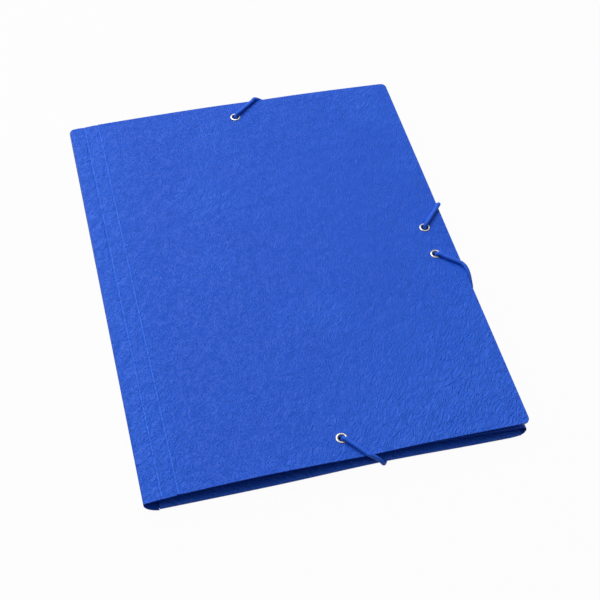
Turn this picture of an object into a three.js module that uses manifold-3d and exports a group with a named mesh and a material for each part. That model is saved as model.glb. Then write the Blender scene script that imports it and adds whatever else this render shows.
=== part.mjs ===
// Elastic folder for loose A4 sheets, shut by two elastic cords.
// Millimetres. +X from the spine fold to the fore-edge, +Y along the spine, +Z up from the table.
// The card is drawn by the centre line of its thickness, then given that thickness.

import * as THREE from 'three';
import { mergeVertices } from 'three/addons/utils/BufferGeometryUtils.js';
import Module from 'manifold-3d';

const wasm = await Module();
wasm.setup();

// Driving dimensions: the whole folder
const coverWidth = 245; // spine fold to fore-edge, over the front cover
const coverHeight = 320; // along the spine
const cardThickness = 0.9;
const clearance = 0.3; // between pieces that touch

// Spine: the fold, two strips on the front and one on the back
const spineFoldHeight = 8.3; // middle of the fold above the table
const outerStripWidth = 11.4;
const outerStripRise = 1;
const innerStripWidth = 10;
const innerStripRise = 1.1;
const backStripWidth = 9;
const scoreBead = 0.35; // height of the bead that a score raises on the front
const scoreWidth = 1.4;

// Front panel: crowned between the inner score and the fore-edge
const foreEdgeRise = 1.2; // fore-edge over the inner score
const panelCrown = 3; // crown over the straight line between them
const frontCornerRadius = 5;

// Back panel: flat on the table beside the spine, lifted by the cords beyond it
const liftStart = 60;
const liftEnd = 132;
const seatWidth = 1.2; // level card between the back's score and the small flaps

// Small flaps, folded in from the top and the bottom edge of the back
const smallFlapWidth = 75;
const smallFlapFold = 1; // radius of the fold's centre line
const smallFlapRise = 1.5; // inner edge over the fold
const smallFlapTaper = 12; // how far each end slants in
const smallFlapProud = 1.6; // fold beyond the front cover's edge

// Large flap, folded in from the fore-edge of the back
const largeFlapWidth = 95;
const largeFlapScore = 10; // from the fold to the first crease
const largeFlapScoreRise = 0.3;
const largeFlapLevel = 20; // inner stretch that lies against the front cover
const largeFlapFoldHeight = 3.7; // between the centre lines of the panel and the flap
const largeFlapInset = 1; // fold behind the front cover's edge
const largeFlapRecess = 0.5; // cut ends behind the front cover's edges
const largeFlapCornerRadius = 6;
const noseLevel = 4; // level card between the small flaps and the large flap's fold

// Eyelets: two at the middle of the top and bottom edges, a pair at the fore-edge
const eyeletBore = 1.9; // radii
const eyeletBarrel = 2.3;
const eyeletFlange = 3.6;
const eyeletRoll = 3.2; // clinched ring inside the cover
const flangeThickness = 0.5;
const eyeletToEdge = 15; // top and bottom eyelets
const topEyeletToForeEdge = 122;
const bottomEyeletToForeEdge = 118.8;
const sideEyeletToEdge = 15.5;
const sideEyeletSpacing = 25;
const sideEyeletDrop = 2.8; // the pair below the middle of the fore-edge

// Elastic cords
const cordDiameter = 2.4;
const knotWidth = 5;
const knotThickness = 2.7;
const runInset = 5; // from the card's edges to the level run under the back
// Where each cord crosses the card's edges: its end edge, measured from the fore-edge, and the fore-edge,
// measured from the end edge
const upperCrossing = { overEnd: 104, underEnd: 94.5, overFore: 132.5, underFore: 125 };
const lowerCrossing = { overEnd: 105.5, underEnd: 95.5, overFore: 131, underFore: 112 };

// Smoothness of curves
const arcSteps = 8;
const panelSteps = 16;
const liftSteps = 24;
const roundSteps = 24;
const cordSides = 8;
const cordSteps = 120;

const halfCard = cardThickness / 2;
const cordRadius = cordDiameter / 2;
const cordLift = cordDiameter + clearance;

const outerScoreX = outerStripWidth;
const innerScoreX = outerScoreX + innerStripWidth;
const outerScoreHeight = spineFoldHeight + outerStripRise;
const innerScoreHeight = outerScoreHeight + innerStripRise;

// Height of the front's centre line, over the strips and the panel
function frontHeight(x) {
  if (x < outerScoreX) return spineFoldHeight + (outerStripRise * x) / outerStripWidth;
  if (x < innerScoreX) return outerScoreHeight + (innerStripRise * (x - outerScoreX)) / innerStripWidth;
  const along = (x - innerScoreX) / (coverWidth - innerScoreX);
  return innerScoreHeight + foreEdgeRise * along + panelCrown * 4 * along * (1 - along);
}

// A score raises a low bead on the centre line
function scorePoints(x) {
  return [
    new THREE.Vector2(x - scoreWidth / 2, frontHeight(x - scoreWidth / 2)),
    new THREE.Vector2(x, frontHeight(x) + scoreBead),
    new THREE.Vector2(x + scoreWidth / 2, frontHeight(x + scoreWidth / 2)),
  ];
}

// How far the cords lift the back panel
function backLift(x) {
  return cordLift * THREE.MathUtils.smoothstep(x, liftStart, liftEnd);
}

const coverTop = (x) => frontHeight(x) + halfCard;
const coverUnder = (x) => frontHeight(x) - halfCard;

const colours = { card: 0x2f58cf, cord: 0x1f4be0, nickel: 0xd8d4c8 };
const cardMaterial = new THREE.MeshStandardMaterial({ color: colours.card, roughness: 0.5, metalness: 0 });
const cordMaterial = new THREE.MeshStandardMaterial({ color: colours.cord, roughness: 0.8, metalness: 0 });
const eyeletMaterial = new THREE.MeshStandardMaterial({ color: colours.nickel, roughness: 0.25, metalness: 1 });

function solidOf(geometry) {
  const bare = new THREE.BufferGeometry();
  bare.setAttribute('position', geometry.getAttribute('position'));
  if (geometry.index) bare.setIndex(geometry.index);
  const merged = mergeVertices(bare, 1e-4);
  const vertProperties = new Float32Array(merged.getAttribute('position').array);
  const triVerts = new Uint32Array(merged.index.array);
  return new wasm.Manifold(new wasm.Mesh({ numProp: 3, vertProperties, triVerts }));
}

function geometryOf(solid) {
  const mesh = solid.getMesh();
  const geometry = new THREE.BufferGeometry();
  geometry.setAttribute('position', new THREE.BufferAttribute(mesh.vertProperties, 3));
  geometry.setIndex(new THREE.BufferAttribute(mesh.triVerts, 1));
  geometry.computeVertexNormals();
  return geometry;
}

// Outline of card along a centre line, with square ends, or with its start rounded about its first point
function cardOutline(line, roundStart = false) {
  const near = [];
  const far = [];
  line.forEach((point, i) => {
    const before = line[Math.max(i - 1, 0)];
    const after = line[Math.min(i + 1, line.length - 1)];
    const into = point.clone().sub(before).normalize();
    const out = after.clone().sub(point).normalize();
    const along = into.clone().add(out).normalize();
    const bend = i > 0 && i < line.length - 1 ? along.dot(out) : 1;
    const side = new THREE.Vector2(-along.y, along.x).multiplyScalar(halfCard / bend);
    near.push(point.clone().sub(side));
    far.push(point.clone().add(side));
  });
  const start = [];
  if (roundStart) {
    const across = far[0].clone().sub(line[0]);
    for (let i = 1; i < arcSteps; i += 1) {
      const turned = across.clone().rotateAround(new THREE.Vector2(), (Math.PI * i) / arcSteps);
      start.push(turned.add(line[0]));
    }
  }
  return new THREE.Shape([...near, ...far.reverse(), ...start]);
}

// An arc of the centre line, both ends included
function arcPoints(centreX, centreY, radius, from, to) {
  const points = [];
  for (let i = 0; i <= arcSteps; i += 1) {
    const angle = from + ((to - from) * i) / arcSteps;
    points.push(new THREE.Vector2(centreX + radius * Math.cos(angle), centreY + radius * Math.sin(angle)));
  }
  return points;
}

// A shape drawn in X and Z, carried along Y
function extrudeAlongY(shape, fromY, toY) {
  const geometry = new THREE.ExtrudeGeometry(shape, { depth: toY - fromY, bevelEnabled: false });
  geometry.rotateX(Math.PI / 2).translate(0, toY, 0);
  return geometry;
}

// A shape drawn in Y and Z, carried along X in steps
function extrudeAlongX(shape, fromX, toX, steps) {
  const geometry = new THREE.ExtrudeGeometry(shape, { depth: toX - fromX, steps, bevelEnabled: false });
  const turn = new THREE.Matrix4().makeBasis(
    new THREE.Vector3(0, 1, 0),
    new THREE.Vector3(0, 0, 1),
    new THREE.Vector3(1, 0, 0),
  );
  return geometry.applyMatrix4(turn).translate(fromX, 0, 0);
}

// An upright block over a plan outline
function uprightBlock(corners, fromZ, toZ) {
  const shape = new THREE.Shape(corners.map(([x, y]) => new THREE.Vector2(x, y)));
  const geometry = new THREE.ExtrudeGeometry(shape, { depth: toZ - fromZ, bevelEnabled: false });
  return solidOf(geometry.translate(0, 0, fromZ));
}

const cutFloor = -5;
const cutCeiling = 40;

// What rounding takes off a corner: inX and inY point from the corner into the card
function cornerWaste(x, y, inX, inY, radius) {
  const over = 1;
  const centreX = x + inX * radius;
  const centreY = y + inY * radius;
  const corners = [
    [x - inX * over, centreY],
    [x - inX * over, y - inY * over],
    [centreX, y - inY * over],
  ];
  for (let i = 0; i <= arcSteps; i += 1) {
    const angle = (Math.PI / 2) * (i / arcSteps);
    corners.push([centreX - inX * radius * Math.sin(angle), centreY - inY * radius * Math.cos(angle)]);
  }
  if (inX * inY > 0) corners.reverse();
  return uprightBlock(corners, cutFloor, cutCeiling);
}

const foldAxis = new THREE.Vector2(halfCard, spineFoldHeight);
const sideEyeletX = coverWidth - sideEyeletToEdge;
const sideEyeletY = coverHeight / 2 - sideEyeletDrop;
const eyelets = {
  eyelet_top: [coverWidth - topEyeletToForeEdge, coverHeight - eyeletToEdge],
  eyelet_bottom: [coverWidth - bottomEyeletToForeEdge, eyeletToEdge],
  eyelet_side_upper: [sideEyeletX, sideEyeletY + sideEyeletSpacing / 2],
  eyelet_side_lower: [sideEyeletX, sideEyeletY - sideEyeletSpacing / 2],
};

// Front cover: two spine strips and the crowned panel, rounded about the spine fold where it turns
function frontCover() {
  const panelX = innerScoreX + scoreWidth / 2;
  const line = [foldAxis, ...scorePoints(outerScoreX), ...scorePoints(innerScoreX)];
  for (let i = 1; i <= panelSteps; i += 1) {
    const x = panelX + ((coverWidth - panelX) * i) / panelSteps;
    line.push(new THREE.Vector2(x, frontHeight(x)));
  }
  let solid = solidOf(extrudeAlongY(cardOutline(line, true), 0, coverHeight));
  solid = solid.subtract(cornerWaste(coverWidth, 0, -1, 1, frontCornerRadius));
  solid = solid.subtract(cornerWaste(coverWidth, coverHeight, -1, -1, frontCornerRadius));
  for (const [x, y] of Object.values(eyelets)) {
    const depth = cutCeiling - cutFloor;
    const drill = new THREE.CylinderGeometry(eyeletBarrel + clearance, eyeletBarrel + clearance, depth, roundSteps);
    drill.rotateX(Math.PI / 2).translate(x, y, (cutCeiling + cutFloor) / 2);
    solid = solid.subtract(solidOf(drill));
  }
  return geometryOf(solid);
}

const panelStart = backStripWidth + seatWidth;
const noseRadius = largeFlapFoldHeight / 2;
const noseCentreX = coverWidth - largeFlapInset - halfCard - noseRadius;
const panelEnd = noseCentreX - noseLevel;

// Back strip: from its score up to the spine fold, cut back there so that the front turns clear of it
function backStrip() {
  const score = new THREE.Vector2(backStripWidth, halfCard);
  const along = score.clone().sub(foldAxis).normalize();
  const frontAngle = Math.atan2(outerStripRise, outerScoreX - foldAxis.x);
  const opening = frontAngle - Math.atan2(along.y, along.x);
  const cutBack = (halfCard * (1 + Math.cos(opening)) + clearance) / Math.sin(opening);
  const start = foldAxis.clone().addScaledVector(along, cutBack);
  const line = [start, score, new THREE.Vector2(panelStart, halfCard)];
  return solidOf(extrudeAlongY(cardOutline(line), 0, coverHeight));
}

// Back panel with a small flap folded in along its top and bottom edges, lifted off the table by the cords
function panelWithSmallFlaps() {
  const foldY = smallFlapFold + halfCard - smallFlapProud;
  const flapTurn = halfCard + smallFlapFold;
  const flapEdgeHeight = halfCard + 2 * smallFlapFold + smallFlapRise;
  const line = [
    new THREE.Vector2(smallFlapWidth - smallFlapProud, flapEdgeHeight),
    ...arcPoints(foldY, flapTurn, smallFlapFold, Math.PI / 2, (Math.PI * 3) / 2),
    ...arcPoints(coverHeight - foldY, flapTurn, smallFlapFold, -Math.PI / 2, Math.PI / 2),
    new THREE.Vector2(coverHeight - smallFlapWidth + smallFlapProud, flapEdgeHeight),
  ];
  const geometry = extrudeAlongX(cardOutline(line), panelStart, panelEnd, liftSteps);
  const position = geometry.getAttribute('position');
  for (let i = 0; i < position.count; i += 1) {
    position.setZ(i, position.getZ(i) + backLift(position.getX(i)));
  }
  let solid = solidOf(geometry);
  for (const [edgeY, inward] of [[0, 1], [coverHeight, -1]]) {
    const nearY = edgeY + inward * (2 * smallFlapFold);
    const farY = edgeY + inward * (smallFlapWidth + 1);
    for (const [endX, inX] of [[panelStart, 1], [panelEnd, -1]]) {
      const overX = endX - inX;
      const corners = [[overX, nearY], [endX, nearY], [endX + inX * smallFlapTaper, farY], [overX, farY]];
      if (inX * inward < 0) corners.reverse();
      const fromZ = cardThickness + backLift(endX) + clearance;
      solid = solid.subtract(uprightBlock(corners, fromZ, cutCeiling));
    }
  }
  return solid;
}

// Fore-edge: the panel's last stretch, a round fold and the large flap that rises to the front cover
function largeFlap() {
  const panelHeight = backLift(panelEnd) + halfCard;
  const flapHeight = panelHeight + largeFlapFoldHeight;
  const scoreX = noseCentreX - largeFlapScore;
  const innerX = coverWidth - largeFlapInset - largeFlapWidth;
  const levelX = innerX + largeFlapLevel;
  const besideCover = (x) => new THREE.Vector2(x, coverUnder(x) - clearance - halfCard);
  const line = [
    new THREE.Vector2(panelEnd, panelHeight),
    ...arcPoints(noseCentreX, panelHeight + noseRadius, noseRadius, -Math.PI / 2, Math.PI / 2),
    new THREE.Vector2(scoreX, flapHeight + largeFlapScoreRise),
    besideCover(levelX),
    besideCover(innerX),
  ];
  const fromY = largeFlapRecess;
  const toY = coverHeight - largeFlapRecess;
  let solid = solidOf(extrudeAlongY(cardOutline(line), fromY, toY));
  solid = solid.subtract(cornerWaste(innerX, fromY, 1, 1, largeFlapCornerRadius));
  solid = solid.subtract(cornerWaste(innerX, toY, 1, -1, largeFlapCornerRadius));
  return solid;
}

function backCover() {
  return geometryOf(backStrip().add(panelWithSmallFlaps()).add(largeFlap()));
}

// Eyelet about its own axis, with the card's middle at height 0
function eyeletGeometry() {
  const seat = halfCard + clearance;
  const rim = seat + flangeThickness;
  const bevel = flangeThickness / 2;
  const profile = [
    [eyeletBore, -rim],
    [eyeletRoll - bevel, -rim],
    [eyeletRoll, -rim + bevel],
    [eyeletRoll, -seat],
    [eyeletBarrel, -seat],
    [eyeletBarrel, seat],
    [eyeletFlange, seat],
    [eyeletFlange - bevel, rim - bevel / 2],
    [(eyeletFlange + eyeletBore) / 2, rim],
    [eyeletBore + bevel, rim],
    [eyeletBore, rim - bevel],
    [eyeletBore, -rim],
  ];
  const points = profile.map(([radius, height]) => new THREE.Vector2(radius, height));
  return new THREE.LatheGeometry(points, roundSteps).rotateX(Math.PI / 2);
}

const flangeTop = clearance + flangeThickness;

// A cord's first points: its knot inside the cover, the bore, the flange's rim, then down on the cover
function leaveEyelet([x, y], towards) {
  const heading = new THREE.Vector2(towards[0] - x, towards[1] - y).normalize();
  const at = (distance, height) =>
    new THREE.Vector3(x + heading.x * distance, y + heading.y * distance, height);
  const drop = flangeTop + clearance + knotThickness / 2;
  return [
    at(0, coverUnder(x) - drop),
    at(0, frontHeight(x)),
    at(0.5, coverTop(x) + flangeTop + 0.4),
    at(2, coverTop(x) + flangeTop + cordRadius + 0.4),
    at(eyeletFlange + 0.6, coverTop(x) + flangeTop + cordRadius + 0.2),
    at(2.6 * eyeletFlange, coverTop(x) + clearance + cordRadius + 0.3),
  ];
}

// Round the top or bottom edge, across under the back's corner, round the fore-edge and back on the cover
function elasticRoute({ endEyelet, sideEyelet, edgeY, outward, crossing }) {
  const reach = cordRadius + clearance;
  const outY = edgeY + outward * (smallFlapProud + reach);
  const outX = coverWidth + reach;
  const overEndX = coverWidth - crossing.overEnd;
  const underEndX = coverWidth - crossing.underEnd;
  const overForeY = edgeY - outward * crossing.overFore;
  const underForeY = edgeY - outward * crossing.underFore;
  const onCover = (x) => coverTop(Math.min(x, coverWidth)) + reach;
  const between = (from, to, share) => from + (to - from) * share;
  const roundEnd = [
    [overEndX - 1, edgeY - outward * 0.9, onCover(overEndX)],
    [overEndX, edgeY + outward * (reach - 0.4), onCover(overEndX) - 0.6],
    [between(overEndX, underEndX, 0.15), outY, onCover(overEndX) - 3],
    [between(overEndX, underEndX, 0.5), outY + outward * 0.2, spineFoldHeight],
    [between(overEndX, underEndX, 0.85), outY, cordLift + 0.6],
    [underEndX, edgeY + outward * 0.8, cordRadius + 0.35],
  ];
  const runHeight = cordRadius + clearance / 2;
  const underCorner = [0, 0.04, 0.5, 0.96, 1].map((share) => [
    between(underEndX + 0.8 * runInset, coverWidth - runInset, share),
    between(edgeY - outward * runInset, underForeY + outward * runInset, share),
    runHeight,
  ]);
  const roundFore = [
    [coverWidth - 1, underForeY + outward * 1, cordRadius + 0.35],
    [outX - 0.2, between(underForeY, overForeY, 0.25), cordLift + 0.9],
    [outX + 0.3, between(underForeY, overForeY, 0.6), spineFoldHeight],
    [outX, between(underForeY, overForeY, 0.85), onCover(coverWidth) - 3],
    [coverWidth + reach - 0.5, overForeY, onCover(coverWidth) - 0.7],
    [coverWidth - 0.9, between(overForeY, sideEyelet[1], 0.1), onCover(coverWidth)],
  ];
  return [
    ...leaveEyelet(endEyelet, [overEndX, edgeY]),
    ...[...roundEnd, ...underCorner, ...roundFore].map((point) => new THREE.Vector3(...point)),
    ...leaveEyelet(sideEyelet, [coverWidth, overForeY]).reverse(),
  ];
}

function elastic(spec) {
  const route = elasticRoute(spec);
  const curve = new THREE.CatmullRomCurve3(route, false, 'centripetal');
  const section = new THREE.Shape();
  for (let i = 0; i < cordSides; i += 1) {
    const angle = (2 * Math.PI * i) / cordSides;
    const corner = [cordRadius * Math.cos(angle), cordRadius * Math.sin(angle)];
    if (i === 0) section.moveTo(...corner);
    else section.lineTo(...corner);
  }
  const cord = new THREE.ExtrudeGeometry(section, { steps: cordSteps, extrudePath: curve, bevelEnabled: false });
  let solid = solidOf(cord);
  for (const end of [route[0], route[route.length - 1]]) {
    const knot = new THREE.SphereGeometry(0.5, 12, 8);
    knot.rotateX(Math.PI / 2).scale(knotWidth, knotWidth, knotThickness).translate(end.x, end.y, end.z);
    solid = solid.add(solidOf(knot));
  }
  return geometryOf(solid);
}

const elastics = {
  elastic_upper: {
    endEyelet: eyelets.eyelet_top,
    sideEyelet: eyelets.eyelet_side_upper,
    edgeY: coverHeight,
    outward: 1,
    crossing: upperCrossing,
  },
  elastic_lower: {
    endEyelet: eyelets.eyelet_bottom,
    sideEyelet: eyelets.eyelet_side_lower,
    edgeY: 0,
    outward: -1,
    crossing: lowerCrossing,
  },
};

function named(name, geometry, material) {
  const mesh = new THREE.Mesh(geometry, material);
  mesh.name = name;
  return mesh;
}

const folder = new THREE.Group();
folder.add(named('back_cover', backCover(), cardMaterial));
folder.add(named('front_cover', frontCover(), cardMaterial));
for (const [name, [x, y]] of Object.entries(eyelets)) {
  const eyelet = named(name, eyeletGeometry(), eyeletMaterial);
  eyelet.position.set(x, y, frontHeight(x));
  eyelet.rotation.y = -Math.atan2(frontHeight(x + 1) - frontHeight(x - 1), 2);
  folder.add(eyelet);
}
for (const [name, spec] of Object.entries(elastics)) {
  folder.add(named(name, elastic(spec), cordMaterial));
}

// Origin at the middle of the bottom of the whole folder
folder.updateMatrixWorld(true);
const box = new THREE.Box3().setFromObject(folder, true);
const centre = box.getCenter(new THREE.Vector3());
folder.position.set(-centre.x, -centre.y, -box.min.z);

export default folder;
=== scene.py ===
"""Elastic folder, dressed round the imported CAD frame. Lengths are millimetres until place() turns them."""

import math

import bmesh
import bpy
from mathutils import Matrix, Vector


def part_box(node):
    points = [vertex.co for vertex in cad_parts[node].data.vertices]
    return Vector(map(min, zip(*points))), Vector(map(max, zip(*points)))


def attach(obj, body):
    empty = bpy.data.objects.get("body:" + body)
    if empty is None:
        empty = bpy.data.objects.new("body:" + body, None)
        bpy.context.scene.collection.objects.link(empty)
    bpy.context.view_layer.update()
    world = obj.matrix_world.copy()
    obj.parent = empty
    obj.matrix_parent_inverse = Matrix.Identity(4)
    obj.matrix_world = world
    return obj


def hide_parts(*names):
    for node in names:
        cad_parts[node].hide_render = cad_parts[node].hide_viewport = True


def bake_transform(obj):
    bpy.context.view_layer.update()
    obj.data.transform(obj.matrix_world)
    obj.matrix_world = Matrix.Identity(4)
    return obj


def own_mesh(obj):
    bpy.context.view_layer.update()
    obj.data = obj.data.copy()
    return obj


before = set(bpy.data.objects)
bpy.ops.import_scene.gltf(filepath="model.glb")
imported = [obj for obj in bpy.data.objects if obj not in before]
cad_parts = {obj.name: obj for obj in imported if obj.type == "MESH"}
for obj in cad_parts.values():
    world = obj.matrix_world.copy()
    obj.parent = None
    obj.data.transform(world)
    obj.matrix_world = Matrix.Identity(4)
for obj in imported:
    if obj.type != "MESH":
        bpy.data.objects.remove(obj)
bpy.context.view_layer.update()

MM = 0.001

# Where the CAD frame has the spine fold's bottom end, and the front's size
SPINE_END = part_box("front_cover")[0]
FRONT_SIZE = (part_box("front_cover")[1] - SPINE_END) / MM
WIDTH = FRONT_SIZE.x
HEIGHT = FRONT_SIZE.y


def place(x, y, z):
    """A point of the folder, in millimetres from the spine's bottom end on the table, in the row frame."""
    return Vector((SPINE_END.x + x * MM, SPINE_END.y + y * MM, z * MM))


def eyelet_middle(node):
    low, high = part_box(node)
    middle = (low + high) / 2
    return (middle.x - SPINE_END.x) / MM, (middle.y - SPINE_END.y) / MM


# Card
CARD = 0.9
HALF_CARD = CARD / 2
CONTACT = 0.12  # gap that stands for contact
EDGE_SOFTNESS = 0.13
BEVEL_ANGLE = math.radians(60)
SHARP_ANGLE = math.radians(50)

# Spine
FOLD_BOTTOM = 7.05  # height that the outer strip runs down to at the fold, at the bottom end
FOLD_TOP = 10.3  # the same at the top end
FOLD_RADIUS = 0.55  # of the fold at the bottom end
OUTER_SCORE = 11.4
INNER_SCORE = 21.4
INNER_BOTTOM = 10.2  # the inner score's height at the bottom end
INNER_TOP = 12.3
STRIP_BULGE = 0.4
SHOULDER_WIDTH = 3.0  # of the fold's round shoulder at the top end
SHOULDER_DROP = 4.6
BACK_SCORE = 9.0
BACK_STRIP_LAP = 0.2  # how far the back strip's sheet runs past the back's score
BACK_STRIP_CURVE = (1.05, 0.95)  # powers that make its section fuller than an ellipse
SPINE_PROUD = 1.8  # the back strip's ends beyond the front's
SPINE_PROUD_REACH = 8.0
SPINE_STEPS = 14
FOLD_STEPS = 10
STRIP_SHARES = (0.12, 0.28, 0.46, 0.64, 0.84)  # columns across the outer strip

# Scores: a ridge on the front, a groove beside it, a nick at each end, and a painted highlight on the ridge
SCORES = (OUTER_SCORE, INNER_SCORE)
RIDGE_HEIGHT, RIDGE_OFFSET, RIDGE_WIDTH = 0.3, 0.3, 0.42
GROOVE_DEPTH, GROOVE_OFFSET, GROOVE_WIDTH = 0.22, 0.55, 0.5
NICK_DEPTH, NICK_OFFSET, NICK_WIDTH, NICK_REACH = 0.45, 0.1, 0.6, 0.8
# Painted highlight on the score ridges: strength, offset from the score and width
SCORE_RIDGE_HIGHLIGHT, SCORE_RIDGE_HIGHLIGHT_OFFSET, SCORE_RIDGE_HIGHLIGHT_WIDTH = 0.6, 0.25, 0.3
SCORE_COLUMNS = (-0.9, -0.7, -0.55, -0.35, -0.15, 0, 0.15, 0.3, 0.45, 0.65, 0.9, 1.3)
BETWEEN_SCORES = (14.2, 16.4, 18.6)

# Front panel
FORE_RISE_BOTTOM = 2.15  # fore-edge over the inner score, at the bottom end
FORE_RISE_TOP = -0.4
CROWN_BOTTOM = 1.55
CROWN_TOP = 1.87
FRONT_CORNER = 4.0
CORNER_STEPS = 8
PANEL_STEP = 2.0

# Where the cords bow an edge of the front: rise, middle and half width along the edge, and reach from it
BOTTOM_BOWS = ((0.9, 66, 34, 30), (-1.1, 139, 24, 24))
TOP_BOW = (-0.4, 141, 24, 24)
FORE_BOW = (-0.5, 160, 40, 25)

# Back and its flaps
FLAP_PROUD = 1.8  # the small flaps' folds beyond the front's ends
FLAP_FOLD = 1.0
FLAP_WIDTH = 75.0
FLAP_RISE = 1.5  # of a small flap's inner edge
FLAP_TAPER = 12.0  # how far its ends slant in
SEAT = 0.5  # between the back's score and the flaps
LARGE_FLAP_INSET = 1.0  # the nose behind the front's fore-edge
LARGE_FLAP_WIDTH = 95.0
LARGE_FLAP_CREASE = 10.0
LARGE_FLAP_MEETS = 75.0  # from the fore-edge to where the flap meets the cover
LARGE_FLAP_CORNER = 6.0
LARGE_FLAP_RECESS = 0.5  # its ends behind the front's
NOSE_TOP = 6.85  # height of the round fold between the back and the large flap
NOSE_LEVEL = 3.3  # its depth, where the small flaps end
NOSE_STEPS = 14
NOSE_RUN = 2.0  # of the large flap before its level stretch
FLAP_NARROWING = (0.6, 7.0)  # share that a small flap's fold loses towards the nose, and over how far
FLAP_FOLD_STEPS = 12
FLAP_SHARES = (0, 0.004, 0.013, 0.04, 0.1, 0.2, 0.32, 0.45, 0.58, 0.7, 0.8, 0.88, 0.94, 0.98)
CREASE_COLUMNS = (7, 4, 2, 1, 0.4, 0, -0.4, -1, -2)
CREASE_RISE = 0.3
LARGE_FLAP_BOW = 0.5
BACK_STEP = 3.0
BACK_EDGE_ROWS = (0.4, 1.2, 2.4)
BACK_GRAIN_START = 400  # keeps the back's grain apart from the front's

# Eyelets
EYELETS = {
    name: eyelet_middle(name)
    for name in ("eyelet_top", "eyelet_bottom", "eyelet_side_upper", "eyelet_side_lower")
}
BORE = 2.35
BARREL = 2.6
FLANGE = 3.8
FLANGE_RISE = 0.62
FLANGE_EDGE = 0.12  # height of its rim's flat side
CLINCH_MIDDLE, CLINCH_WIDTH, CLINCH_DEPTH, CLINCH_OUTER = 2.6, 0.7, 0.5, 3.25
SEAT_GAP = 0.03
SLOPE_REACH = 2  # of the card round an eyelet that gives its tilt
HOLE = 2.7  # radius of the hole in the card
HOLE_BLOCK = 6.0  # half the square of the sheet that is meshed round a hole
HOLE_RINGS = (0.45, 0.75, 0.92, 1.0)
EYELET_SIDES = 48

# Cords
CORD_RADIUS = 1.42
CORD_LIFT = 2.7  # how high a cord underneath holds the back off the table
CORD_LIFT_WIDTH = 38
CORD_SIDES = 16
CORD_STEP = 0.9
CORD_GAP = 0.06  # between a cord and the edges that it goes round
FLANGE_TOP = 0.65  # of an eyelet, over the card
RUN_HEIGHT = CORD_RADIUS + 0.3  # of the cord's middle under the back
TURN_HEIGHT = CORD_RADIUS + 0.4  # the same where it turns up round an edge
RUN_INSET = 5.0  # of the level run under the back, from the card's edges
RUN_SHARES = (0, 0.04, 0.25, 0.5, 0.75, 0.96, 1)

# Round the top or bottom edge and the fore-edge: share of the way under it, distance out and drop
UPPER_END_STEPS = ((0, 0.4, 0.1), (0.25, 0.9, 1.4), (0.5, 1.5, 3.4), (0.72, 2.3, 6.0), (0.88, 3.2, 8.8))
LOWER_END_STEPS = ((0, 0.5, 0.1), (0.25, 1.5, 1.6), (0.5, 2.5, 3.5), (0.72, 3.2, 6.0), (0.88, 3.3, 8.8))
FORE_STEPS = ((0.82, -0.1, 7.6), (0.6, 0.25, 5.0), (0.36, 0.3, 2.5), (0.15, -0.4, 0.7))
KNOT_CORD_RADIUS = 0.8
KNOT_SIDES = 12
KNOT_STEPS = 96
KNOT_SIZE = 0.62
KNOT_DEPTH = 0.65
CORDS = {
    "elastic_upper": {
        "ends": ("eyelet_top", "eyelet_side_upper"),
        "edge": HEIGHT,
        "outward": 1,
        "end_steps": UPPER_END_STEPS,
        "over_end": WIDTH - 104.0,
        "under_end": WIDTH - 94.5,
        "over_fore": HEIGHT - 132.5,
        "under_fore": HEIGHT - 125.0,
    },
    "elastic_lower": {
        "ends": ("eyelet_bottom", "eyelet_side_lower"),
        "edge": 0.0,
        "outward": -1,
        "end_steps": LOWER_END_STEPS,
        "over_end": WIDTH - 105.5,
        "under_end": WIDTH - 95.5,
        "over_fore": 131.0,
        "under_fore": 112.0,
    },
}


def smoothstep(start, end, value):
    share = min(max((value - start) / (end - start), 0.0), 1.0)
    return share * share * (3 - 2 * share)


def hump(value, middle, width):
    return math.exp(-(((value - middle) / width) ** 2))


def mix(a, b, share):
    return a + (b - a) * share


# Shape of the front: its middle layer's height
def score_relief(x):
    relief = 0.0
    for score in SCORES:
        relief += RIDGE_HEIGHT * hump(x, score + RIDGE_OFFSET, RIDGE_WIDTH)
        relief -= GROOVE_DEPTH * hump(x, score - GROOVE_OFFSET, GROOVE_WIDTH)
    return relief


def fold_height(y):
    return mix(FOLD_BOTTOM, FOLD_TOP, y / HEIGHT)


def bowed(bow, along, away):
    rise, middle, width, reach = bow
    return rise * hump(along, middle, width) * math.exp(-away / reach)


def front_height(x, y):
    up = y / HEIGHT
    inner = mix(INNER_BOTTOM, INNER_TOP, up)
    if x < INNER_SCORE:
        height = mix(fold_height(y), inner, x / INNER_SCORE)
        if x < OUTER_SCORE:
            height += STRIP_BULGE * math.sin(math.pi * x / OUTER_SCORE)
        return height
    along = (x - INNER_SCORE) / (WIDTH - INNER_SCORE)
    height = inner + mix(FORE_RISE_BOTTOM, FORE_RISE_TOP, up) * along
    height += mix(CROWN_BOTTOM, CROWN_TOP, up) * 4 * along * (1 - along)
    for bow in BOTTOM_BOWS:
        height += bowed(bow, x, y)
    height += bowed(TOP_BOW, x, HEIGHT - y)
    height += bowed(FORE_BOW, y, WIDTH - x)
    return height


def front_top(x, y):
    return front_height(min(x, WIDTH), y) + HALF_CARD


def front_under(x, y):
    return front_height(min(x, WIDTH), y) - HALF_CARD


def back_lift(x, y):
    """How far the cords underneath hold the back off the table."""
    lift = 0.0
    for cord in CORDS.values():
        start = Vector((cord["under_end"], cord["edge"]))
        along = Vector((WIDTH, cord["under_fore"])) - start
        offset = Vector((x, y)) - start
        distance = abs(along.x * offset.y - along.y * offset.x) / along.length
        lift += (CORD_LIFT * hump(distance, 0, CORD_LIFT_WIDTH)) ** 3
    return lift ** (1 / 3)


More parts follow.
